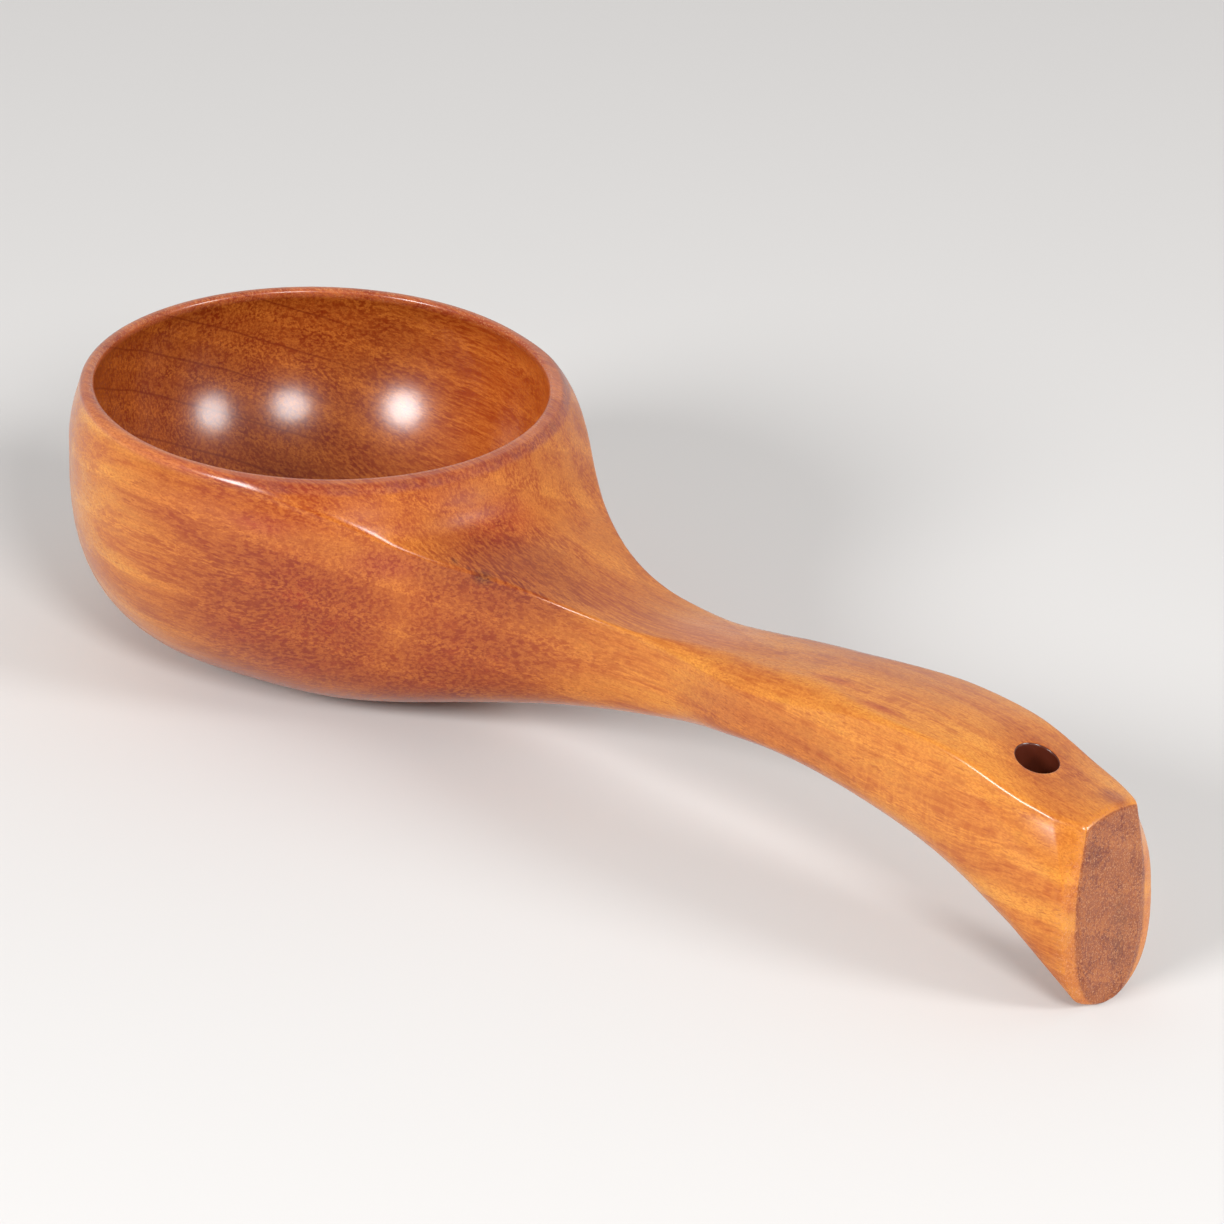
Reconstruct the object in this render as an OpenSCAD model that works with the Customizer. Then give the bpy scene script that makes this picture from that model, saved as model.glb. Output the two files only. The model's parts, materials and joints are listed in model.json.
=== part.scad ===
// A wooden ladle carved from one block: a round bowl, a hollowed shoulder and a short arched handle
// that ends in a tall blunt tip with one hanging hole through it.
// Millimetres. The origin is on the table under the centre of the bowl, +X runs to the handle tip
// and +Z is up. The ladle is the same on both sides of the XZ plane and stands on its foot and tip.

/* [Bowl] */
// Radius of the bowl's opening, inside the rim.
mouth_radius = 31; // [29:0.5:31.5]
// Radius of the rim's outer edge.
rim_radius = 33; // [32.5:0.25:34]
// Height of the rim above the table.
rim_height = 37; // [35:0.2:39]
// How far the outside of the bowl swells beyond the rim.
belly = 1.4; // [0.5:0.1:2.2]
// How far the inside of the bowl swells beyond the opening.
inner_belly = 0.5; // [0.2:0.1:1]
// Thickness of the wood under the middle of the bowl.
floor_thickness = 4.5; // [3.5:0.5:8]
// Squareness of the bowl's side view: 2 is an ellipse, higher is boxier.
squareness = 3.1; // [2.6:0.1:3.6]
// Depth of wood planed off underneath to make the flat foot.
foot_cut = 0.4; // [0.3:0.05:0.6]

/* [Shoulder] */
// Direction at which the shoulder's edge leaves the rim, degrees from the handle's axis.
leave_angle = 81; // [74:1:84]
// Strength of the shoulder's curve where it leaves the rim.
leave_pull = 30; // [26:1:32]
// Strength of the shoulder's curve where it meets the neck.
neck_pull = 35; // [30:1:36]

/* [Handle] */
// Height of the handle's top in the middle, above its two edges.
crown = 0.8; // [0.4:0.1:1.2]
// Radius of the soft edges halfway along the handle.
soft_edge = 3.4; // [1:0.2:4]
// Radius of the crisp edges near the tip.
crisp_edge = 0.6; // [0.3:0.1:1]
// Length of the rounding along the tip's upright corners, at the top.
tip_round_top = 6; // [4:0.5:8]
// Length of the rounding along the tip's upright corners, at the bottom.
tip_round_bottom = 1.2; // [0.8:0.1:2.5]
// Width taken off each side by that rounding at the top.
tip_inset_top = 1.2; // [0.6:0.1:2]
// Width taken off each side by that rounding at the bottom.
tip_inset_bottom = 2.6; // [1:0.1:3]
// How far the handle's sides swell out below its top edges near the tip.
tip_swell = 2.2; // [1:0.1:3]

/* [Hanging hole] */
// Diameter of the hanging hole.
hole_diameter = 5.5; // [4:0.1:6]
// Distance of the hole from the middle of the bowl.
hole_x = 126.5; // [118:0.5:128]

/* [Hidden] */
$fn = 96;

neck_x = 70;
straight_x = 52;
tip_start = 130;
tip_top_x = 138.8;
tip_bottom_x = 140.8;
tip_edge = 0.9;
rim_edge = 0.6;
soft_top_x = 60;

// Number of cross sections around the bowl, along the shoulder, along the handle and around the tip.
n_bowl = 14;
n_shoulder = 16;
n_handle = 14;
n_tip = 6;
n_ring = n_bowl + n_shoulder + n_handle + n_tip;

// Number of points down a cross section: top, edge rounding, upper side and lower side.
k_top = 4;
k_edge = 5;
k_upper = 5;
k_lower = 10;
k_all = k_top + k_edge + k_upper + k_lower;

// Height of the top surface against distance from the bowl's axis.
top_line = [
    [rim_radius - 1, rim_height],
    [rim_radius, rim_height - 0.2],
    [rim_radius + 0.8, rim_height - 1],
    [rim_radius + 1.9, rim_height - 2.5],
    [rim_radius + 3.4, 32.3],
    [rim_radius + 5.5, 29.6],
    [46, 26.9],
    [60, 24.6],
    [80, 26.2],
    [100, 29],
    [120, 29.3],
    [131, 26.7],
    [tip_top_x, 25.4]
];

// Height of the underside along the middle.
keel_line = [
    [0, 0],
    [15, 0.7],
    [40, 5.8],
    [65, 12],
    [88, 17.1],
    [105, 15.5],
    [120, 12.2],
    [131, 7],
    [tip_bottom_x, 0.3]
];

// Half width of the handle's top along its length.
width_line = [
    [56, 8.2],
    [neck_x, 6],
    [84, 8.2],
    [98, 8.3],
    [112, 8.3],
    [127, 7.8],
    [tip_top_x, 6]
];

// A step from 0 to 1 with level ends.
function smooth(t) = let (u = min(max(t, 0), 1)) u * u * (3 - 2 * u);

// A smooth curve through a list of points, each with the mean slope of its two neighbours.
function span(p, x, k = 0) = (k >= len(p) - 2 || x < p[k + 1][0]) ? k : span(p, x, k + 1);
function rise(p, k) = (p[k + 1][1] - p[k][1]) / (p[k + 1][0] - p[k][0]);
function slope(p, k) =
    k == 0 ? rise(p, 0) :
    k == len(p) - 1 ? rise(p, k - 1) :
    (rise(p, k - 1) + rise(p, k)) / 2;
function through(p, x) =
    let (
        k = span(p, x),
        h = p[k + 1][0] - p[k][0],
        t = min(max((x - p[k][0]) / h, 0), 1)
    )
    (1 + 2 * t) * (1 - t) * (1 - t) * p[k][1]
    + t * (1 - t) * (1 - t) * h * slope(p, k)
    + t * t * (3 - 2 * t) * p[k + 1][1]
    + t * t * (t - 1) * h * slope(p, k + 1);

// The outline seen from above, as [x, y, angle round the tip]: the rim's circle, the shoulder's
// curve, the handle and the rounded tip.
leave_point = rim_radius * [cos(leave_angle), sin(leave_angle)];
shoulder_curve = [
    leave_point,
    leave_point + leave_pull * [sin(leave_angle), -cos(leave_angle)],
    [neck_x - neck_pull, through(width_line, neck_x)],
    [neck_x, through(width_line, neck_x)]
];
function curve(c, t) =
    (1 - t) * (1 - t) * (1 - t) * c[0]
    + 3 * (1 - t) * (1 - t) * t * c[1]
    + 3 * (1 - t) * t * t * c[2]
    + t * t * t * c[3];
function bowl_plan(i) = let (a = 180 + (leave_angle - 180) * i / n_bowl) [rim_radius * cos(a), rim_radius * sin(a), 0];
function shoulder_plan(i) = let (p = curve(shoulder_curve, i / n_shoulder)) [p[0], p[1], 0];
function handle_plan(i) = let (x = neck_x + (tip_start - neck_x) * i / n_handle) [x, through(width_line, x), 0];
function tip_plan(i) =
    let (a = 90 * i / n_tip, x = tip_top_x - tip_round_top * (1 - sin(a)))
    [x, through(width_line, x), a];
function plan(i) =
    i <= n_bowl ? bowl_plan(i) :
    i <= n_bowl + n_shoulder ? shoulder_plan(i - n_bowl) :
    i <= n_bowl + n_shoulder + n_handle ? handle_plan(i - n_bowl - n_shoulder) :
    tip_plan(i - n_bowl - n_shoulder - n_handle);

// Where on the middle line a cross section starts: at the bowl's axis around the bowl, gliding out
// along the shoulder until the cross sections stand square to the handle.
function start_x(x) =
    let (x0 = leave_point[0], u = (x - x0) / (straight_x - x0))
    u <= 0 ? 0 :
    u >= 1 ? x :
    u * u * (3 - 2 * u) * straight_x + u * u * (u - 1) * (straight_x - x0);

// Spare wood left on top of the shoulder for the turning cut to remove.
function spare(x) = min(2, 0.1 * max(61 - x, 0));

// Radius of the handle's edges: crisp at the shoulder, soft at mid handle, crisp at the tip.
function edge_radius(x) =
    0.3
    + (soft_edge - 0.3) * smooth((x - 62) / 20) * (1 - smooth((x - 92) / 18))
    + (crisp_edge - 0.3) * smooth((x - 95) / 15);

// One cross section from the middle of the top, round the side, to the middle of the underside.
function ring(i) =
    let (
        p = plan(i),
        a = p[2],
        ox = start_x(p[0]),
        w = norm([p[0] - ox, p[1]]),
        dir = [p[0] - ox, p[1]] / w,
        top = through(top_line, max(norm([p[0], p[1]]), rim_radius - 1)),
        keel_x = a > 0 ? tip_bottom_x - tip_round_bottom * (1 - sin(a)) : ox,
        keel = through(keel_line, keel_x) - foot_cut,
        fade = smooth(ox / straight_x),
        swell = belly * (1 - fade) + (0.2 + (tip_swell - 0.2) * smooth((p[0] - 100) / 40)) * fade,
        waist = 0.2 * (1 - fade) + 0.45 * fade,
        r = min(edge_radius(p[0]), 0.8 * w),
        dome = crown * smooth((p[0] - 55) / 30),
        e = min(max((p[0] - tip_top_x + tip_edge) / tip_edge, 0), 1),
        edge_drop = tip_edge * (1 - sqrt(1 - e * e)),
        side_top = top - r - edge_drop,
        side_mid = side_top - waist * (side_top - keel)
    )
    [
        for (k = [0 : k_top - 1])
            let (rho = (w - r) * k / k_top, q = [ox, 0] + dir * rho)
            place(ox, dir, w, a, rho, crown_top(q, top, p[0]) + dome * (1 - pow(rho / w, 2)) - edge_drop, top, keel),
        for (k = [0 : k_edge - 1])
            let (b = 90 * k / (k_edge - 1), rho = w - r + r * sin(b))
            place(ox, dir, w, a, rho,
                top + spare(p[0]) - r + r * cos(b) + dome * (1 - pow(rho / w, 2)) - edge_drop, top, keel),
        for (k = [0 : k_upper - 1])
            let (t = max(k / k_upper, 0.04))
            place(ox, dir, w, a, w + swell * sin(90 * t), side_top + (side_mid - side_top) * t, top, keel),
        for (k = [0 : k_lower - 1])
            let (b = 90 * k / (k_lower - 1), rho = k == k_lower - 1 ? 0 : (w + swell) * pow(cos(b), 2 / squareness))
            place(ox, dir, w, a, rho, side_mid - (side_mid - keel) * pow(sin(b), 2 / squareness), top, keel)
    ];

// Height of the top of the block: over the bowl and shoulder it follows the turned surface with some
// spare wood, along the handle it is the finished surface.
function crown_top(q, top, x) =
    x < straight_x ? through(top_line, max(norm(q), rim_radius - 1)) + spare(x) : top + spare(x);

// A point of a cross section in space. Around the tip the corner rounding moves it back and inward,
// and the end face leans outward towards the table.
function place(ox, dir, w, a, rho, z, top, keel) =
    a == 0 ? [ox + dir[0] * rho, dir[1] * rho, z] :
    let (
        h = (z - keel) / (top - keel),
        g = pow(min(max(h, 0), 1), 2),
        length = tip_round_bottom + (tip_round_top - tip_round_bottom) * g,
        inset = tip_inset_bottom + (tip_inset_top - tip_inset_bottom) * g,
        inward = inset * (1 - cos(a)) * min(rho / w, 1)
    )
    [
        tip_bottom_x + (tip_top_x - tip_bottom_x) * h - length * (1 - sin(a)),
        dir[1] * max(rho - inward, 0),
        z
    ];

rings = [for (i = [0 : n_ring]) ring(i)];
block_points = concat(
    [for (i = [0 : n_ring]) for (k = [0 : k_all - 1]) rings[i][k]],
    [for (i = [0 : n_ring]) for (k = [0 : k_all - 1]) [rings[i][k][0], -rings[i][k][1], rings[i][k][2]]]
);

// Index of a point on the left (0) or right (1) half. Points on the middle plane are shared, and so
// are the two points on the bowl's axis.
function on_axis(i, k) = i <= n_bowl && (k == 0 || k == k_all - 1);
function middle(i, k) = i == 0 || k == 0 || k == k_all - 1;
function index(half, i, k) =
    on_axis(i, k) ? k :
    (middle(i, k) ? 0 : half) * (n_ring + 1) * k_all + i * k_all + k;

function distinct(f) = f[0] != f[1] && f[1] != f[2] && f[0] != f[2];
left_faces = [
    for (i = [0 : n_ring - 1]) for (k = [0 : k_all - 2])
        for (f = [
            [index(0, i, k), index(0, i + 1, k + 1), index(0, i + 1, k)],
            [index(0, i, k), index(0, i, k + 1), index(0, i + 1, k + 1)]
        ]) if (distinct(f)) f
];
right_faces = [
    for (i = [0 : n_ring - 1]) for (k = [0 : k_all - 2])
        for (f = [
            [index(1, i, k), index(1, i + 1, k), index(1, i + 1, k + 1)],
            [index(1, i, k), index(1, i + 1, k + 1), index(1, i, k + 1)]
        ]) if (distinct(f)) f
];
end_face = concat(
    [for (k = [0 : k_all - 1]) index(0, n_ring, k)],
    [for (k = [k_all - 2 : -1 : 1]) index(1, n_ring, k)]
);

// The block as carved from outside, before the bowl is turned.
module carved_block() {
    polyhedron(points = block_points, faces = concat(left_faces, right_faces, [end_face]));
}

// What turning removes: the bowl's inside, and everything above the rim and the shoulder.
inner_radius = mouth_radius + inner_belly;
inner_mid = 0.9 * rim_height;
cavity_profile = [
    for (k = [0 : 18])
        let (b = 90 * k / 18)
        [
            k == 0 ? 0 : inner_radius * sin(b),
            inner_mid - (inner_mid - floor_thickness) * (k == 18 ? 0 : cos(b))
        ]
];
mouth_profile = [
    for (k = [1 : 4])
        let (t = k / 5)
        [inner_radius - inner_belly * (1 - cos(90 * t)), inner_mid + (rim_height - rim_edge - inner_mid) * t],
    for (k = [0 : 4])
        let (b = 90 * k / 4)
        [mouth_radius + rim_edge * (1 - cos(b)), rim_height - rim_edge * (1 - sin(b))]
];
shoulder_profile = [
    for (r = [rim_radius - 1 : 0.5 : rim_radius + 7]) [r, through(top_line, r)],
    for (r = [42 : 2 : soft_top_x]) [r, through(top_line, r)],
    for (r = [64 : 4 : 140]) [r, through(top_line, min(r, tip_top_x)) + 0.1 * (r - soft_top_x)],
    [150, 40]
];

module turned_away() {
    rotate_extrude()
        polygon(concat(cavity_profile, mouth_profile, shoulder_profile, [[150, 60], [0, 60]]));
}

module hanging_hole() {
    translate([hole_x, 0, 0])
        cylinder(d = hole_diameter, h = 50);
}

module below_table() {
    translate([-60, -60, -20])
        cube([240, 120, 20]);
}

module ladle() {
    color([0.72, 0.38, 0.16])
        difference() {
            carved_block();
            turned_away();
            below_table();
            hanging_hole();
        }
}

ladle();
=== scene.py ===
"""A carved wooden ladle on a pale floor: the finished shape, its lacquered wood and a soft studio light."""

import json
import math

import bmesh
import bpy
import numpy as np
from mathutils import Matrix, Vector


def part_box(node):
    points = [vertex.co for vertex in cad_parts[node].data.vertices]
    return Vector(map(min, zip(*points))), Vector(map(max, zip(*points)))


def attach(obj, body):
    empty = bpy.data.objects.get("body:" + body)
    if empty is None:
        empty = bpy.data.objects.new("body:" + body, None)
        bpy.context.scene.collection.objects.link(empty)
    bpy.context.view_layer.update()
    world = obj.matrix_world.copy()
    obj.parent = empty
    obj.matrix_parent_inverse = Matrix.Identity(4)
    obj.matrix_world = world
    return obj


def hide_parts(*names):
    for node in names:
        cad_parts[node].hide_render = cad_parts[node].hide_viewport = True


MM = 0.001

# The camera: angles in degrees, distance in metres, lens in millimetres on a 36 mm wide sensor.
CAMERA_AZIMUTH = 41.75
CAMERA_ELEVATION = 26.6
CAMERA_ROLL = 2.66
CAMERA_DISTANCE = 0.75
CAMERA_LENS = 168.3

# Where the camera and the lamps face, in millimetres from the bowl's far end, the middle and the floor.
TARGET = (91.7, -2.7, 23.9)

# The lamps: name, azimuth, elevation, diameter in metres and power in watts.
LAMPS = (
    ("lamp_right", 111, 25, 0.36, 7.4),
    ("lamp_front", 62, 34, 0.36, 8.2),
    ("lamp_left", -6, 26, 0.38, 12.0),
)
LAMP_DISTANCE = 1.2

# The ladle's shape in millimetres. The numbers are the CAD part's, apart from a crisper tip and a
# gentler slope just outside the rim.
RIM_RADIUS = 33.0
MOUTH_RADIUS = 31.0
INNER_BELLY = 0.5
FLOOR_THICKNESS = 4.5
BELLY = 1.38
SQUARENESS = 3.1
INNER_MID = 0.9
FOOT_CUT = 0.4
LEAVE_ANGLE = math.radians(81)
LEAVE_PULL = 30.0
NECK_PULL = 35.0
NECK_X = 70.0
STRAIGHT_X = 52.0
TIP_START = 130.0
TIP_TOP_X = 138.8
TIP_BOTTOM_X = 140.79
TIP_EDGE = 0.9
TIP_ROUND = (0.7, 6.0)
TIP_INSET = (2.6, 0.8)
TIP_SWELL = 2.2
TIP_LEAN = 1.99 / 25.4
CROWN = 0.8
RIM_EDGE = 0.6
HOLE_EDGE = 0.35

# How finely the mesh is divided.
N_BOWL = 66
N_SHOULDER = 64
N_HANDLE = 60
N_TIP = 12
N_ACROSS = 30
N_EDGE = 6
N_UPPER = 12
N_LOWER = 16
N_KEEL = 15
SPLIT = 0.42
HOLE_PATCH = 3.51

# How far the handles of a cubic curve reach along a corner's sides to draw a quarter circle.
ARC_PULL = 0.5523


def through(points, x):
    """A smooth curve through a list of points, each with the mean slope of its two neighbours."""
    px = np.array([p[0] for p in points], float)
    pz = np.array([p[1] for p in points], float)
    rise = np.diff(pz) / np.diff(px)
    slope = np.concatenate([rise[:1], (rise[1:] + rise[:-1]) / 2, rise[-1:]])
    x = np.asarray(x, float)
    k = np.clip(np.searchsorted(px, x, side="right") - 1, 0, len(px) - 2)
    h = px[k + 1] - px[k]
    t = np.clip((x - px[k]) / h, 0, 1)
    return (
        (1 + 2 * t) * (1 - t) ** 2 * pz[k]
        + t * (1 - t) ** 2 * h * slope[k]
        + t * t * (3 - 2 * t) * pz[k + 1]
        + t * t * (t - 1) * h * slope[k + 1]
    )


def smooth(t):
    """A step from 0 to 1 with level ends."""
    t = np.clip(t, 0, 1)
    return t * t * (3 - 2 * t)


def top_height(r, rim):
    """Height of the top surface at distance r from the bowl's axis."""
    line = [
        (RIM_RADIUS - 1, rim),
        (RIM_RADIUS, rim - 0.2),
        (RIM_RADIUS + 0.8, rim - 1.0),
        (RIM_RADIUS + 1.9, rim - 2.35),
        (RIM_RADIUS + 3.4, 32.7),
        (RIM_RADIUS + 5.5, 30.1),
        (46, 26.9),
        (60, 24.6),
        (80, 26.2),
        (100, 29.0),
        (120, 29.3),
        (131, 26.7),
        (TIP_TOP_X, 25.4),
    ]
    return through(line, np.maximum(r, RIM_RADIUS - 1))


def keel_height(x):
    """Height of the underside along the middle, with the wood planed off for the foot."""
    line = [
        (0, 0),
        (15, 0.7),
        (40, 5.8),
        (65, 12),
        (88, 17.1),
        (105, 15.5),
        (120, 12.2),
        (131, 7),
        (TIP_BOTTOM_X, 0.3),
    ]
    return through(line, x) - FOOT_CUT


def half_width(x):
    """Half width of the handle's top."""
    line = [(56, 8.2), (NECK_X, 6), (84, 8.2), (98, 8.3), (112, 8.3), (127, 7.8), (TIP_TOP_X, 6)]
    return through(line, x)


def edge_size(x):
    """Size of the rounding where the top meets the sides: crisp, soft at mid handle, crisp again."""
    soft = smooth((x - 62) / 20) * (1 - smooth((x - 92) / 18))
    rim = 1 - smooth((x - 4) / 20)
    return 0.45 + 2.95 * soft + 0.55 * rim + 0.25 * smooth((x - 95) / 15)


def outline():
    """The ladle's outline from above: points, and the angle round the tip's corner (0 before the tip)."""
    a = np.linspace(math.pi, LEAVE_ANGLE, N_BOWL + 1)
    bowl = np.c_[RIM_RADIUS * np.cos(a), RIM_RADIUS * np.sin(a)]
    leave = RIM_RADIUS * np.array([math.cos(LEAVE_ANGLE), math.sin(LEAVE_ANGLE)])
    neck = np.array([NECK_X, half_width(NECK_X)])
    pull = leave + LEAVE_PULL * np.array([math.sin(LEAVE_ANGLE), -math.cos(LEAVE_ANGLE)])
    t = np.linspace(0, 1, N_SHOULDER + 1)[1:, None]
    shoulder = (
        (1 - t) ** 3 * leave
        + 3 * (1 - t) ** 2 * t * pull
        + 3 * (1 - t) * t * t * (neck - [NECK_PULL, 0])
        + t**3 * neck
    )
    x = np.linspace(NECK_X, TIP_START, N_HANDLE + 1)[1:]
    handle = np.c_[x, half_width(x)]
    turn = np.linspace(0, math.pi / 2, N_TIP + 1)[1:]
    x = TIP_TOP_X - TIP_ROUND[1] * (1 - np.sin(turn))
    tip = np.c_[x, half_width(x)]
    before = np.zeros(len(bowl) + N_SHOULDER + N_HANDLE)
    return np.vstack([bowl, shoulder, handle, tip]), np.concatenate([before, turn])


def start_x(x):
    """Where on the middle line a cross section starts: the bowl's axis, gliding out along the shoulder."""
    x0 = RIM_RADIUS * math.cos(LEAVE_ANGLE)
    u = np.clip((x - x0) / (STRAIGHT_X - x0), 0, 1)
    glide = u * u * (3 - 2 * u) * STRAIGHT_X + u * u * (u - 1) * (STRAIGHT_X - x0)
    return np.where(x < STRAIGHT_X, glide, x)


class Section:
    """One cross section of the ladle: its place, its direction and its side's main sizes."""

    def __init__(self, p, turn, rim):
        self.turn = turn
        self.x = p[0]
        self.ox = float(start_x(p[0]))
        self.w = math.hypot(p[0] - self.ox, p[1])
        self.dir = np.array([p[0] - self.ox, p[1]]) / self.w
        self.top = float(top_height(math.hypot(*p), rim))
        keel_x = TIP_BOTTOM_X - TIP_ROUND[0] * (1 - math.sin(turn)) if turn > 0 else self.ox
        self.keel = float(keel_height(keel_x))
        if self.x > STRAIGHT_X:
            self.keel = max(self.keel, 0.0)
        fade = float(smooth(self.ox / STRAIGHT_X))
        tip = float(smooth((p[0] - 100) / 40))
        self.swell = BELLY * (1 - fade) + (0.2 + (TIP_SWELL - 0.2) * tip) * fade
        waist = 0.2 * (1 - fade) + 0.45 * fade
        self.edge = min(float(edge_size(p[0])), 0.8 * self.w)
        self.crown = CROWN * float(smooth((p[0] - 55) / 30))
        e = min(max((p[0] - TIP_TOP_X + TIP_EDGE) / TIP_EDGE, 0), 1)
        self.drop = TIP_EDGE * (1 - math.sqrt(1 - e * e))
        self.side_top = self.top - self.edge - self.drop
        self.mid = self.side_top - waist * (self.side_top - self.keel)

    def place(self, rho, z):
        """A point of the section in space. The tip's sides bend in and meet the leaning end face crisply."""
        if self.turn == 0:
            return [self.ox + self.dir[0] * rho, self.dir[1] * rho, z]
        h = (z - self.keel) / (self.top - self.keel)
        g = min(max(h, 0), 1)
        length = TIP_ROUND[0] + (TIP_ROUND[1] - TIP_ROUND[0]) * g**5
        inset = TIP_INSET[0] + (TIP_INSET[1] - TIP_INSET[0]) * g**2
        rho = max(rho - inset * math.sin(self.turn) ** 2.2 * min(rho / self.w, 1), 0)
        x = TIP_BOTTOM_X + (TIP_TOP_X - TIP_BOTTOM_X) * h - length * (1 - math.sin(self.turn))
        return [x, self.dir[1] * rho, z]

    def side(self, z):
        """Distance of the side from the middle at height z, above the widest height."""
        t = (self.side_top - z) / (self.side_top - self.mid)
        return self.w + self.swell * math.sin(math.pi / 2 * t)

    def under(self, f):
        """Height of the underside at the fraction f of the section's full half width."""
        return self.mid - (self.mid - self.keel) * (1 - f**SQUARENESS) ** (1 / SQUARENESS)

    def over(self, y):
        """Height of the handle's top at a distance y from the middle."""
        return self.top + self.crown * (1 - (y / self.w) ** 2) - self.drop


class Skin:
    """Collects points and faces. Each point also has a twin on the other side of the middle plane."""

    def __init__(self):
        self.points = []
        self.faces = []

    def add(self, p):
        self.points.append(p)
        return len(self.points) - 1

    def twin(self, i, twins):
        """The index of the mirrored point; points on the middle plane are their own twin."""
        if i not in twins:
            x, y, z = self.points[i]
            twins[i] = i if abs(y) < 1e-6 else self.add([x, -y, z])
        return twins[i]

    def face(self, *ids):
        loop = [a for k, a in enumerate(ids) if a != ids[k - 1]]
        if len(loop) > 2:
            self.faces.append(loop)

    def grid(self, rows):
        """Quads between neighbouring rows of point indices."""
        for a, b in zip(rows[:-1], rows[1:]):
            for k in range(len(a) - 1):
                self.face(a[k], a[k + 1], b[k + 1], b[k])

    def grid_with_gap(self, rows, lo, hi):
        """The same, less the patch next to the middle line between rows lo and hi, where the hole goes."""
        self.grid(rows[: lo + 1])
        self.grid([row[: len(row) - N_KEEL] for row in rows[lo : hi + 1]])
        self.grid(rows[hi:])

    def mirror(self):
        """Doubles the half built so far."""
        twins = {}
        for f in list(self.faces):
            self.face(*[self.twin(i, twins) for i in reversed(f)])
        return twins


def surface_top(sec, kappa, rim):
    """A point of the top surface on the arc through a section's edge, from the edge (0) to the middle (1)."""
    inner = sec.w - sec.edge
    ex, ey = sec.ox + sec.dir[0] * inner, sec.dir[1] * inner
    r = math.hypot(ex, ey)
    a = math.atan2(ey, ex) * (1 - kappa)
    flat = float(smooth((sec.x - 55) / 45))
    x = (1 - flat) * r * math.cos(a) + flat * ex
    y = r * math.sin(a)
    turned = float(top_height(r, rim)) + sec.crown * (1 - (y / sec.w) ** 2) - sec.drop
    z = (1 - flat) * turned + flat * sec.over(y)
    if sec.turn == 0:
        return [x, y, z]
    return sec.place(y, z)


def rounded(a, corner, b, t):
    """A point of a rounded corner: from a, past the corner, to b."""
    c = a + ARC_PULL * (corner - a)
    d = b + ARC_PULL * (corner - b)
    return list((1 - t) ** 3 * a + 3 * (1 - t) ** 2 * t * c + 3 * (1 - t) * t * t * d + t**3 * b)


def build_sides(skin, secs, rim):
    """The edge rounding, the sides and the underside. Returns the rows of point indices."""
    rows = []
    for sec in secs:
        inner = np.array(surface_top(sec, 0, rim))
        corner = np.array(sec.place(sec.w, sec.top - sec.drop))
        low = np.array(sec.place(sec.w, sec.side_top))
        row = [skin.add(rounded(inner, corner, low, k / N_EDGE)) for k in range(N_EDGE + 1)]
        for k in range(1, N_UPPER + 1):
            z = sec.side_top + (sec.mid - sec.side_top) * k / N_UPPER
            row.append(skin.add(sec.place(sec.side(z), z)))
        full = sec.w + sec.swell
        turn = math.acos(SPLIT ** (SQUARENESS / 2))
        parts = [math.cos(turn * k / N_LOWER) ** (2 / SQUARENESS) for k in range(1, N_LOWER + 1)]
        parts += [SPLIT * (1 - k / N_KEEL) for k in range(1, N_KEEL + 1)]
        for f in parts:
            p = sec.place(full * f, sec.under(f))
            row.append(skin.add([p[0], p[1], max(p[2], 0.0)]))
        rows.append(row)
    pole = rows[0][-1]
    for row in rows[: N_BOWL + 1]:
        row[-1] = pole
    return rows


def build_top(skin, secs, sides, rim):
    """The shoulder and the top of the handle, as rows from the edge to the middle."""
    rows = []
    for sec, side in zip(secs[N_BOWL:], sides[N_BOWL:]):
        row = [side[0]]
        for k in range(1, N_ACROSS + 1):
            row.append(skin.add(surface_top(sec, k / N_ACROSS, rim)))
        rows.append(row)
    return rows


def bowl_profile(rim):
    """The rim's inner half and the bowl's inside, as distances from the axis and heights."""
    outer = RIM_RADIUS - float(edge_size(0))
    profile = [(r, float(top_height(r, rim))) for r in np.linspace(outer, MOUTH_RADIUS + RIM_EDGE, 4)[1:]]
    for b in np.linspace(math.pi / 2, 0, 7)[1:]:
        profile.append((MOUTH_RADIUS + RIM_EDGE * (1 - math.cos(b)), rim - RIM_EDGE * (1 - math.sin(b))))
    wide = MOUTH_RADIUS + INNER_BELLY
    mid = INNER_MID * rim
    for t in np.linspace(1, 0, 9)[1:]:
        r = wide - INNER_BELLY * (1 - math.cos(math.pi / 2 * t))
        profile.append((r, mid + (rim - RIM_EDGE - mid) * t))
    for b in np.linspace(math.pi / 2, 0, 49)[1:]:
        profile.append((wide * math.sin(b), mid - (mid - FLOOR_THICKNESS) * math.cos(b)))
    return profile


def build_bowl(skin, sides, top, rim):
    """The rim and the bowl's inside, turned about the axis, half way round."""
    angles = list(np.linspace(math.pi, LEAVE_ANGLE, N_BOWL + 1))
    angles += [LEAVE_ANGLE * (1 - k / N_ACROSS) for k in range(1, N_ACROSS + 1)]
    row = [side[0] for side in sides[: N_BOWL + 1]] + top[0][1:]
    rows = [row]
    profile = bowl_profile(rim)
    for r, z in profile[:-1]:
        rows.append([skin.add([r * math.cos(a), r * math.sin(a), z]) for a in angles])
    pole = skin.add([0.0, 0.0, profile[-1][1]])
    rows.append([pole] * len(angles))
    skin.grid(rows)


def loop_of(rows, lo, hi):
    """The point indices round the hole's patch on one half, from the middle line round to the middle line."""
    last = len(rows[lo]) - 1
    loop = [rows[lo][k] for k in range(last, last - N_KEEL, -1)]
    loop += [rows[i][last - N_KEEL] for i in range(lo, hi)]
    loop += [rows[hi][k] for k in range(last - N_KEEL, last + 1)]
    return loop


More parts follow.
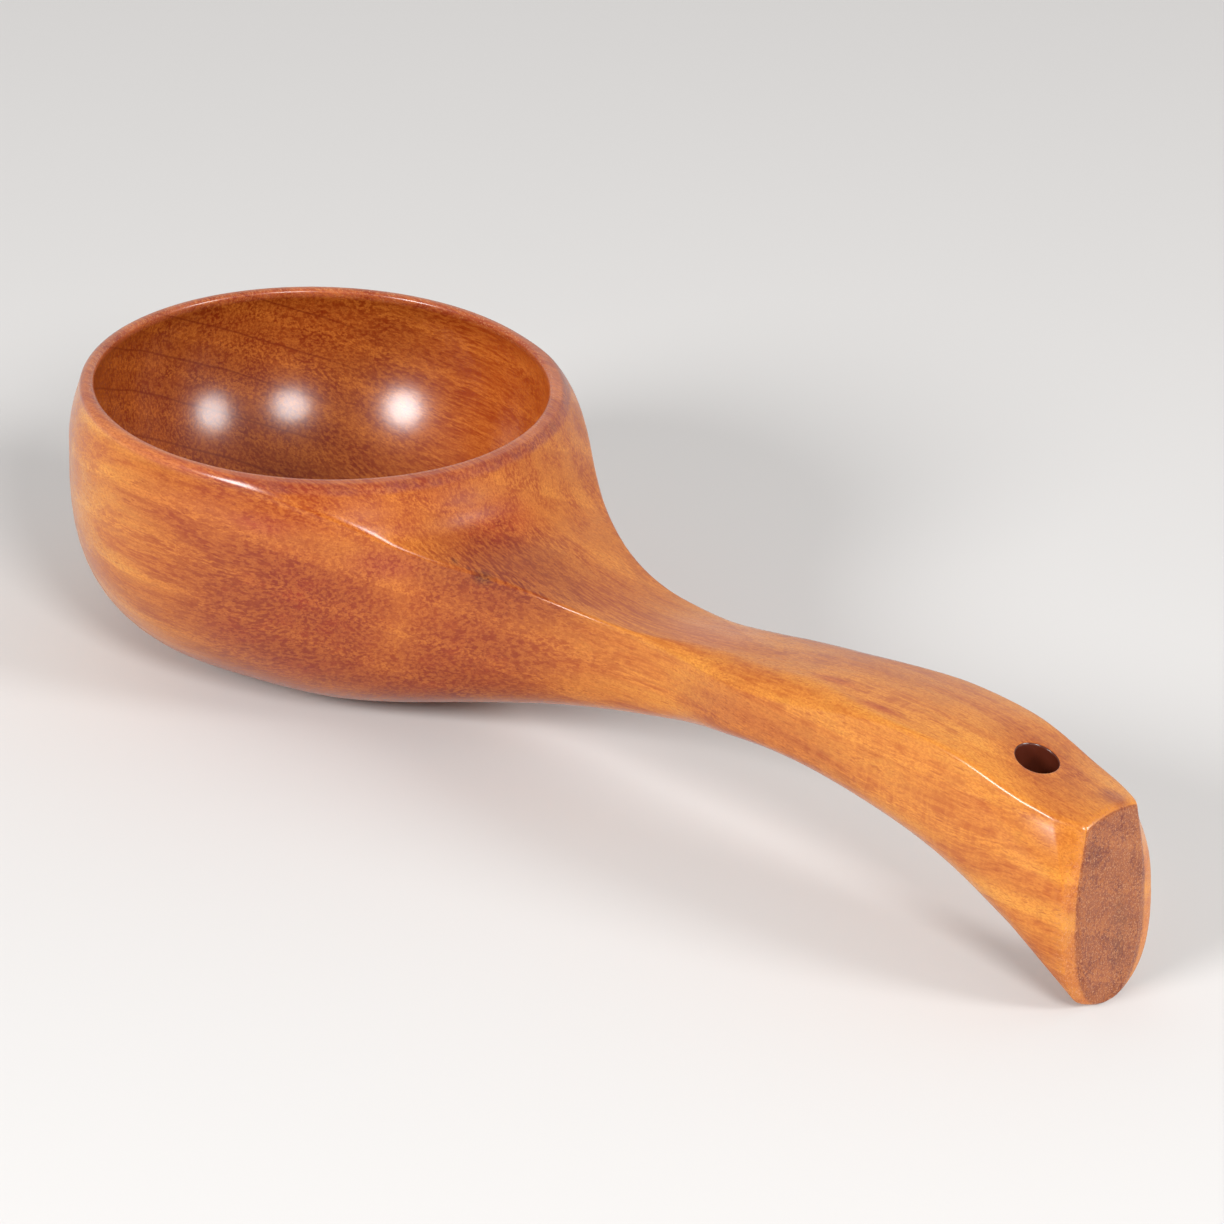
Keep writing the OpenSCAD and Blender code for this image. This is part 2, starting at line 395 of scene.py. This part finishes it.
def build_hole(skin, loops, hole, rim):
    """The hanging hole on one half: soft mouths above and below, and a straight wall between them."""
    hx, radius = hole
    turns = [math.atan2(skin.points[i][1], skin.points[i][0] - hx) for i in loops[0]]
    turns[0], turns[-1] = math.pi, 0.0

    def height(x, y, side):
        sec = Section([x, float(half_width(x))], 0, rim)
        return sec.over(y) if side < 0 else sec.under(y / (sec.w + sec.swell))

    def ring(radii, side, lift):
        ids = []
        for a, r in zip(turns, radii):
            x, y = hx + r * math.cos(a), abs(r * math.sin(a))
            ids.append(skin.add([x, y if 0 < a < math.pi else 0.0, height(x, y, side) + side * lift]))
        return ids

    mouths = []
    for loop, side in zip(loops, (-1, 1)):
        reach = [math.hypot(skin.points[i][0] - hx, skin.points[i][1]) for i in loop]
        rows = [loop, ring([(d + radius + HOLE_EDGE) / 2 for d in reach], side, 0.0)]
        for b in (0.0, 0.25, 0.5, 0.75, 1.0):
            rows.append(ring([radius + HOLE_EDGE * (1 - b) ** 2] * len(loop), side, HOLE_EDGE * b * b))
        mouths.append(rows)
        skin.grid(rows)
    wall = [mouths[0][-1]]
    for s in (0.25, 0.5, 0.75):
        row = []
        for a, b in zip(mouths[0][-1], mouths[1][-1]):
            high, low = np.array(skin.points[a]), np.array(skin.points[b])
            row.append(skin.add(list(high * (1 - s) + low * s)))
        wall.append(row)
    wall.append(mouths[1][-1])
    skin.grid(wall)


def build_end(skin, side, top_row):
    """The tip's end face on one half, from the top edge down to the keel."""
    rows = [list(reversed(top_row))]
    for i in side[1:]:
        x, y, z = skin.points[i]
        row = [skin.add([x, y * k / N_ACROSS, z]) for k in range(N_ACROSS)] + [i]
        rows.append(row if y > 1e-6 else [i] * (N_ACROSS + 1))
    skin.grid(rows)


def ladle_skin(rim, hole):
    """All points and faces of the ladle, in millimetres."""
    skin = Skin()
    plan, turns = outline()
    secs = [Section(p, t, rim) for p, t in zip(plan, turns)]
    sides = build_sides(skin, secs, rim)
    top = build_top(skin, secs, sides, rim)
    near = [i for i, s in enumerate(secs) if s.turn == 0 and abs(s.x - hole[0]) < HOLE_PATCH]
    lo, hi = near[0], near[-1]
    skin.grid_with_gap(sides, lo, hi)
    skin.grid_with_gap(top, lo - N_BOWL, hi - N_BOWL)
    build_bowl(skin, sides, top, rim)
    build_hole(skin, [loop_of(top, lo - N_BOWL, hi - N_BOWL), loop_of(sides, lo, hi)], hole, rim)
    build_end(skin, sides[-1], top[-1])
    skin.mirror()
    return skin


def make_ladle(rim, hole):
    """The ladle as one mesh, in metres."""
    skin = ladle_skin(rim, hole)
    used = sorted({i for f in skin.faces for i in f})
    new = {old: k for k, old in enumerate(used)}
    points = [[c * MM for c in skin.points[i]] for i in used]
    faces = [[new[i] for i in f] for f in skin.faces]
    mesh = bpy.data.meshes.new("ladle_wood")
    mesh.from_pydata(points, [], faces)
    tidy = bmesh.new()
    tidy.from_mesh(mesh)
    bmesh.ops.recalc_face_normals(tidy, faces=tidy.faces)
    tidy.to_mesh(mesh)
    tidy.free()
    mesh.shade_smooth()
    mesh.update()
    ladle = bpy.data.objects.new("ladle_wood", mesh)
    bpy.context.collection.objects.link(ladle)
    return ladle


class Nodes:
    """Short ways to add shader nodes to one material."""

    def __init__(self, name):
        self.material = bpy.data.materials.new(name)
        self.material.use_nodes = True
        self.tree = self.material.node_tree
        self.tree.nodes.clear()

    def add(self, kind, inputs=None, **settings):
        node = self.tree.nodes.new(kind)
        for key, value in settings.items():
            setattr(node, key, value)
        for key, value in (inputs or {}).items():
            self.put(node.inputs[key], value)
        return node

    def put(self, socket, value):
        if isinstance(value, bpy.types.NodeSocket):
            self.tree.links.new(value, socket)
        else:
            socket.default_value = value

    def math(self, operation, a, b=0.0, c=0.0, clamp=False):
        node = self.add("ShaderNodeMath", operation=operation, use_clamp=clamp)
        for socket, value in zip(node.inputs, (a, b, c)):
            self.put(socket, value)
        return node.outputs[0]

    def move(self, coords, scale, shift=(0, 0, 0), turn=(0, 0, 0)):
        """Coordinates turned, then scaled, then shifted."""
        inputs = {"Vector": coords, "Scale": scale, "Location": shift, "Rotation": turn}
        return self.add("ShaderNodeMapping", inputs).outputs[0]

    def noise(self, coords, scale, detail=2.0, rough=0.5, distort=0.0):
        inputs = {"Vector": coords, "Scale": scale, "Detail": detail}
        inputs |= {"Roughness": rough, "Distortion": distort}
        return self.add("ShaderNodeTexNoise", inputs).outputs[0]

    def ramp(self, value, low, high):
        """0 at low, 1 at high, with smooth ends."""
        inputs = {"Value": value, "From Min": low, "From Max": high}
        return self.add("ShaderNodeMapRange", inputs, interpolation_type="SMOOTHERSTEP").outputs[0]

    def mix(self, share, a, b, how="MIX"):
        node = self.add("ShaderNodeMix", data_type="RGBA", blend_type=how)
        self.put(node.inputs["Factor"], share)
        colours = [s for s in node.inputs if s.type == "RGBA"]
        self.put(colours[0], a)
        self.put(colours[1], b)
        return [s for s in node.outputs if s.type == "RGBA"][0]

    def spot(self, coords, centre, size, turn=0.0, soft=1.0):
        """1 at a centre, fading to 0 at an ellipsoid of the given half sizes round it."""
        back = self.add("ShaderNodeVectorMath", {0: coords, 1: centre}, operation="SUBTRACT").outputs[0]
        turned = self.move(back, (1, 1, 1), turn=(0, turn, 0))
        scaled = self.move(turned, tuple(1 / s for s in size))
        length = self.add("ShaderNodeVectorMath", {0: scaled}, operation="LENGTH").outputs["Value"]
        return self.ramp(length, 1.0, 1.0 - soft)


def colour(red, green, blue):
    """A colour given as it looks on a screen, 0 to 255, as linear values."""
    out = []
    for c in (red, green, blue):
        c = c / 255
        out.append(c / 12.92 if c < 0.04045 else ((c + 0.055) / 1.055) ** 2.4)
    return (*out, 1.0)


def wood_grain(n, mm):
    """The wood's own pattern: growth rings, fibres, specks, pores and ripple, each from 0 to 1."""
    slow = n.move(mm, (0.02, 0.05, 0.05))
    wander = n.add("ShaderNodeTexNoise", {"Vector": slow, "Scale": 1.0, "Detail": 2.0}).outputs["Color"]
    drift = n.add("ShaderNodeVectorMath", {0: wander, "Scale": 6.0}, operation="SCALE").outputs[0]
    grain = n.add("ShaderNodeVectorMath", {0: mm, 1: drift}, operation="ADD").outputs[0]
    level = n.add("ShaderNodeVectorMath", {0: mm, 1: (0.0, 0.46, 1.0)}, operation="DOT_PRODUCT")
    sway = n.noise(n.move(mm, (0.05, 0.08, 0.08), (4, 4, 4)), 1.0, 2.0)
    rings = n.math("MULTIPLY_ADD", sway, 1.2, n.math("SUBTRACT", level.outputs["Value"], 37.1))
    place = n.math("FRACT", n.math("MULTIPLY_ADD", rings, 1 / 6.2, 10.5))
    from_line = n.math("ABSOLUTE", n.math("SUBTRACT", place, 0.5))
    return {
        "line": n.ramp(from_line, 0.045, 0.0),
        "late": n.ramp(place, 0.1, 0.5),
        "broad": n.ramp(n.noise(n.move(mm, (0.02, 0.06, 0.06), (3, 1, 7)), 1.0, 3.0, 0.5), 0.36, 0.66),
        "bands": n.ramp(n.noise(n.move(grain, (0.03, 0.34, 0.34)), 1.0, 3.0, 0.5), 0.34, 0.66),
        "fibres": n.ramp(n.noise(n.move(grain, (0.2, 2.4, 2.4), (1, 4, 2)), 1.0, 3.0, 0.6), 0.39, 0.61),
        "specks": n.ramp(n.noise(n.move(mm, (2.0, 4.4, 4.4), (5, 5, 5)), 1.0, 2.0, 0.7), 0.34, 0.68),
        "pores": n.ramp(n.noise(n.move(grain, (0.5, 4.2, 4.2), (2, 9, 4)), 1.0, 1.0, 0.5), 0.61, 0.72),
        "ripple": n.ramp(n.noise(n.move(grain, (0.55, 0.3, 0.2), (8, 3, 2)), 1.0, 2.0, 0.5, 1.2), 0.36, 0.66),
    }


def lacquered_wood(hole):
    """Orange-brown stained wood under clear gloss lacquer, with the grain along X."""
    n = Nodes("lacquered_wood")
    place = n.add("ShaderNodeTexCoord").outputs["Object"]
    mm = n.move(place, (1000, 1000, 1000))
    g = wood_grain(n, mm)
    parts = n.add("ShaderNodeSeparateXYZ", {0: mm})
    x, z = parts.outputs[0], parts.outputs[2]
    flat = n.add("ShaderNodeVectorMath", {0: mm, 1: (1, 1, 0)}, operation="MULTIPLY").outputs[0]
    r = n.add("ShaderNodeVectorMath", {0: flat}, operation="LENGTH").outputs["Value"]

    # Broad tones: golden at the ends, orange between, and a redder near side of the bowl, partly the wood's
    # own colour and partly painted shade.
    golden = colour(214, 146, 56)
    orange = colour(164, 76, 18)
    red = colour(136, 40, 8)
    middle = n.math("MULTIPLY", n.ramp(x, -14, 12), n.ramp(x, 74, 50))
    share = n.math("MULTIPLY_ADD", middle, 0.55, n.math("MULTIPLY", g["broad"], 0.4), clamp=True)
    base = n.mix(share, golden, orange)
    # The near side of the bowl and the throat are redder: partly the wood's colour, partly painted shade.
    near_side_red_and_shade = n.spot(mm, (25, -29, 17), (30, 17, 19), soft=0.75)
    throat = n.spot(mm, (42, -14, 13), (24, 13, 13), soft=0.8)
    redness = n.math("MAXIMUM", n.math("MULTIPLY", near_side_red_and_shade, 0.95), n.math("MULTIPLY", throat, 0.85))
    base = n.mix(n.math("MULTIPLY", redness, n.math("MULTIPLY_ADD", g["bands"], 0.3, 0.7)), base, red)
    brow = n.spot(mm, (27, -21, 33.5), (15, 12, 4.5), soft=0.6)
    base = n.mix(n.math("MULTIPLY", brow, 0.5), base, colour(178, 92, 24))
    # Painted shade in the hollow just outside the rim, towards the handle.
    hollow_shade = n.spot(mm, (38, -4, 30), (9, 10, 5), soft=1.0)
    base = n.mix(n.math("MULTIPLY", hollow_shade, 0.75), base, colour(176, 70, 30))

    side = n.spot(mm, (88, -9, 19), (24, 6, 9), soft=0.8)
    crown = n.spot(mm, (126, 0, 28), (15, 8, 4), soft=0.8)
    flank = n.math("MAXIMUM", side, crown)
    base = n.mix(n.math("MULTIPLY", flank, 0.75), base, colour(166, 82, 28))
    # Painted pinkish reflection on the top of the neck.
    neck_top_reflection = n.spot(mm, (73, 0, 26), (13, 7, 4), soft=0.8)
    base = n.mix(n.math("MULTIPLY", neck_top_reflection, 0.5), base, colour(212, 150, 110))
    crest = n.spot(mm, (43, -9, 27), (21, 15, 10), soft=0.8)
    base = n.mix(n.math("MULTIPLY", crest, 0.75), base, colour(132, 46, 8))

    # The bowl's inside is darker, and darkest towards the far end from the handle.
    inside = n.spot(mm, (0, 0, 33.3), (32.3, 32.3, 29.6), soft=0.02)
    deep = n.mix(n.ramp(x, -26, 22), colour(122, 36, 2), colour(200, 104, 38))
    base = n.mix(n.math("MULTIPLY", inside, 0.85), base, deep)

    # The rim's flat top is tinted pink, a painted reflection of the room. End grain takes more stain on top
    # of the tip and on its end face, whose darkening is also partly painted shade.
    rim = n.math("MULTIPLY", n.ramp(z, 35.4, 36.3), n.math("LESS_THAN", r, 36.0))
    base = n.mix(n.math("MULTIPLY", rim, 0.7), base, colour(176, 92, 66))
    # A painted purplish reflection along the rim's outer edge, towards the handle.
    near_rim = n.ramp(n.math("ABSOLUTE", n.math("SUBTRACT", r, 33.4)), 0.9, 0.2)
    line = n.math("MULTIPLY", near_rim, n.ramp(z, 34.9, 35.6))
    uneven = n.math("MULTIPLY", n.ramp(x, 4, 20), n.math("MULTIPLY_ADD", g["bands"], 0.7, 0.3))
    line = n.math("MULTIPLY", line, uneven)
    base = n.mix(n.math("MULTIPLY", line, 0.8), base, colour(128, 56, 52))
    # The end face is darker: end grain that takes more stain, and partly painted shade.
    along = n.math("MULTIPLY_ADD", z, TIP_LEAN, x)
    end = n.ramp(along, TIP_BOTTOM_X - 0.2, TIP_BOTTOM_X - 0.08)
    base = n.mix(n.math("MULTIPLY", end, 0.85), base, colour(118, 46, 30))
    marks = (
        ((137, 2.4, 26.2), (3.6, 2.6, 2.0), (140, 70, 62), 0.7),
        ((139.3, -3.6, 21.0), (3.0, 2.4, 4.2), (104, 24, 10), 0.9),
        ((140, 1.6, 9.0), (3.0, 3.4, 8.0), (100, 36, 32), 0.7),
        ((19, -29.5, 31.6), (9.0, 5.0, 2.4), (158, 58, 32), 0.7),
        ((33, -20.5, 27.6), (10.0, 6.0, 3.6), (156, 62, 44), 0.7),
        ((97, -3.9, 29.3), (7.0, 1.3, 2.0), (170, 70, 30), 0.8),
        ((106, -6.2, 29.8), (6.0, 1.2, 2.0), (176, 76, 32), 0.8),
        ((43.2, -12.6, 27.0), (2.6, 2.0, 1.8), (84, 22, 20), 0.95),
        ((38.9, -13.7, 28.2), (1.1, 0.8, 0.8), (96, 30, 16), 0.9),
        ((41.0, -13.1, 27.8), (0.7, 0.4, 0.5), (110, 42, 26), 0.9),
    )
    for centre, half, tint, strength in marks:
        base = n.mix(n.math("MULTIPLY", n.spot(mm, centre, half), strength), base, colour(*tint))

    # The figure on top of the tones.
    light = n.mix(0.4, base, colour(236, 146, 56))
    dark = n.mix(1.0, base, colour(200, 140, 104), "MULTIPLY")
    deepest = n.mix(1.0, base, colour(186, 128, 104), "MULTIPLY")
    tone = n.mix(n.math("MULTIPLY", n.math("SUBTRACT", 1.0, g["bands"]), 0.8), base, dark)
    tone = n.mix(n.math("MULTIPLY", g["fibres"], 0.6), tone, light)
    handle = n.ramp(x, 66, 90)
    tone = n.mix(n.math("MULTIPLY", g["ripple"], n.math("MULTIPLY_ADD", handle, 0.26, 0.1)), tone, light)
    tone = n.mix(n.math("MULTIPLY", g["specks"], 0.42), tone, dark)
    tone = n.mix(n.math("MULTIPLY", g["late"], 0.25), tone, dark)
    lines = n.math("MULTIPLY_ADD", n.math("MULTIPLY", inside, n.ramp(x, -12, -26)), 0.6, 0.05)
    tone = n.mix(n.math("MULTIPLY", g["line"], lines), tone, deepest)
    tone = n.mix(n.math("MULTIPLY", g["pores"], 0.5), tone, deepest)

    # Small spots on the mouth's edge and the tip's edges are paler. Painted shade darkens the hole's wall.
    near_mouth = n.ramp(n.math("ABSOLUTE", n.math("SUBTRACT", r, 31.4)), 0.7, 0.2)
    mouth = n.math("MULTIPLY", near_mouth, n.ramp(z, 35.4, 36.3))
    edges = n.math("MAXIMUM", mouth, n.ramp(x, 137.0, 139.5))
    pale_specks = n.math("MULTIPLY", edges, n.ramp(g["specks"], 0.75, 0.95))
    tone = n.mix(n.math("MULTIPLY", pale_specks, 0.35), tone, colour(226, 164, 112))
    # Painted shade inside the hanging hole.
    shaft = n.spot(mm, (hole[0], 0.0, 18.0), (hole[1] + 0.2, hole[1] + 0.2, 60), soft=0.01)
    tone = n.mix(n.math("GREATER_THAN", shaft, 0.5), tone, colour(78, 30, 16))

    rough = n.math("MULTIPLY_ADD", g["fibres"], 0.12, 0.42)
    height = n.math("SUBTRACT", n.math("MULTIPLY", g["bands"], 0.25), g["pores"])
    bump = n.add("ShaderNodeBump", {"Height": height, "Strength": 0.15, "Distance": 0.00006})
    film = n.noise(n.move(mm, (0.35, 0.5, 0.5), (7, 7, 1)), 1.0, 1.0)
    film_bump = n.add("ShaderNodeBump", {"Height": film, "Strength": 0.25, "Distance": 0.00005})
    surface = {"Base Color": tone, "Roughness": rough, "Normal": bump.outputs[0]}
    shader = n.add("ShaderNodeBsdfPrincipled", surface)
    shader.inputs["IOR"].default_value = 1.45
    shader.inputs["Specular IOR Level"].default_value = 0.12
    shader.inputs["Coat Weight"].default_value = 0.85
    shader.inputs["Coat Roughness"].default_value = 0.22
    shader.inputs["Coat IOR"].default_value = 1.5
    n.put(shader.inputs["Coat Normal"], film_bump.outputs[0])
    n.add("ShaderNodeOutputMaterial", {"Surface": shader.outputs[0]})
    return n.material


def plain(name, tint, rough):
    """A plain matt material for the studio."""
    n = Nodes(name)
    shader = n.add("ShaderNodeBsdfPrincipled", {"Base Color": (*tint, 1.0), "Roughness": rough})
    n.add("ShaderNodeOutputMaterial", {"Surface": shader.outputs[0]})
    return n.material


def make_floor():
    """A pale floor under the ladle."""
    mesh = bpy.data.meshes.new("floor")
    s = 3.0
    mesh.from_pydata([(-s, -s, 0), (s, -s, 0), (s, s, 0), (-s, s, 0)], [], [(0, 1, 2, 3)])
    floor = bpy.data.objects.new("floor", mesh)
    bpy.context.collection.objects.link(floor)
    mesh.materials.append(plain("floor_pale", (0.66, 0.65, 0.64), 0.8))
    return floor


def aim(obj, target, roll=0.0):
    """Turns a camera or light at a place to face the target."""
    back = (Vector(obj.location) - Vector(target)).normalized()
    right = Vector((0, 0, 1)).cross(back).normalized()
    up = back.cross(right)
    turned = right * math.cos(roll) + up * math.sin(roll)
    risen = up * math.cos(roll) - right * math.sin(roll)
    obj.matrix_world = Matrix.Translation(obj.location) @ Matrix((turned, risen, back)).transposed().to_4x4()


def toward(azimuth, elevation):
    """The direction at an azimuth from -Y towards +X and an elevation, in degrees."""
    a, e = math.radians(azimuth), math.radians(elevation)
    return Vector((math.sin(a) * math.cos(e), -math.cos(a) * math.cos(e), math.sin(e)))


def softbox(name, target, azimuth, elevation, size, power):
    """A soft round area light that faces the target."""
    data = bpy.data.lights.new(name, "AREA")
    data.shape = "DISK"
    data.size = size
    data.energy = power
    lamp = bpy.data.objects.new(name, data)
    bpy.context.collection.objects.link(lamp)
    lamp.location = Vector(target) + toward(azimuth, elevation) * LAMP_DISTANCE
    aim(lamp, target)
    return lamp


def light_studio(target):
    """Three soft lamps round the ladle, in a pale room that is dark behind the camera."""
    for name, azimuth, elevation, size, power in LAMPS:
        softbox(name, target, azimuth, elevation, size, power)
    world = bpy.data.worlds.new("studio")
    world.use_nodes = True
    tree = world.node_tree
    behind = tree.nodes.new("ShaderNodeVectorMath")
    behind.operation = "DOT_PRODUCT"
    behind.inputs[1].default_value = toward(CAMERA_AZIMUTH, 0)
    tree.links.new(tree.nodes.new("ShaderNodeTexCoord").outputs["Generated"], behind.inputs[0])
    level = tree.nodes.new("ShaderNodeMapRange")
    level.inputs["From Min"].default_value = -1.0
    level.inputs["From Max"].default_value = 1.0
    level.inputs["To Min"].default_value = 0.8
    level.inputs["To Max"].default_value = 0.03
    tree.links.new(behind.outputs["Value"], level.inputs["Value"])
    tree.links.new(level.outputs[0], tree.nodes["Background"].inputs["Strength"])
    tree.nodes["Background"].inputs["Color"].default_value = (1.0, 0.98, 0.97, 1.0)
    scene = bpy.context.scene
    scene.world = world
    scene.view_settings.view_transform = "Standard"


def add_camera(box):
    """The camera, from the handle's side and above, far back so that the lens hardly distorts."""
    low = box[0]
    target = Vector((low.x + TARGET[0] * MM, TARGET[1] * MM, low.z + TARGET[2] * MM))
    data = bpy.data.cameras.new("camera")
    data.sensor_width = 36.0
    data.lens = CAMERA_LENS
    data.clip_start = 0.01
    data.clip_end = 20.0
    camera = bpy.data.objects.new("camera", data)
    bpy.context.collection.objects.link(camera)
    camera.location = target + toward(CAMERA_AZIMUTH, CAMERA_ELEVATION) * CAMERA_DISTANCE
    aim(camera, target, math.radians(CAMERA_ROLL))
    bpy.context.scene.camera = camera
    return target


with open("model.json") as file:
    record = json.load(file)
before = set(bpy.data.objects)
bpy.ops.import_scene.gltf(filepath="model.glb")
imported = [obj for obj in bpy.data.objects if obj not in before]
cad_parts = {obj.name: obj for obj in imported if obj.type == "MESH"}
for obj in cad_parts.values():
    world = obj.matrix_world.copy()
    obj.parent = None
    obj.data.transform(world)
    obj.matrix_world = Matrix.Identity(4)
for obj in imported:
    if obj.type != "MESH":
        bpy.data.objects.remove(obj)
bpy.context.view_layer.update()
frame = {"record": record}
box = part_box("ladle")
record = frame["record"]
bore = next(m for m in record["mounts"] if m["name"] == "hanging_hole")
hole = (bore["pos_m"][0] / MM, bore["dims"]["r_mm"])

ladle = make_ladle((box[1].z - box[0].z) / MM, hole)
ladle.data.materials.append(lacquered_wood(hole))
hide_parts("ladle")
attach(ladle, "root")

make_floor()
middle = add_camera(box)
light_studio(middle)
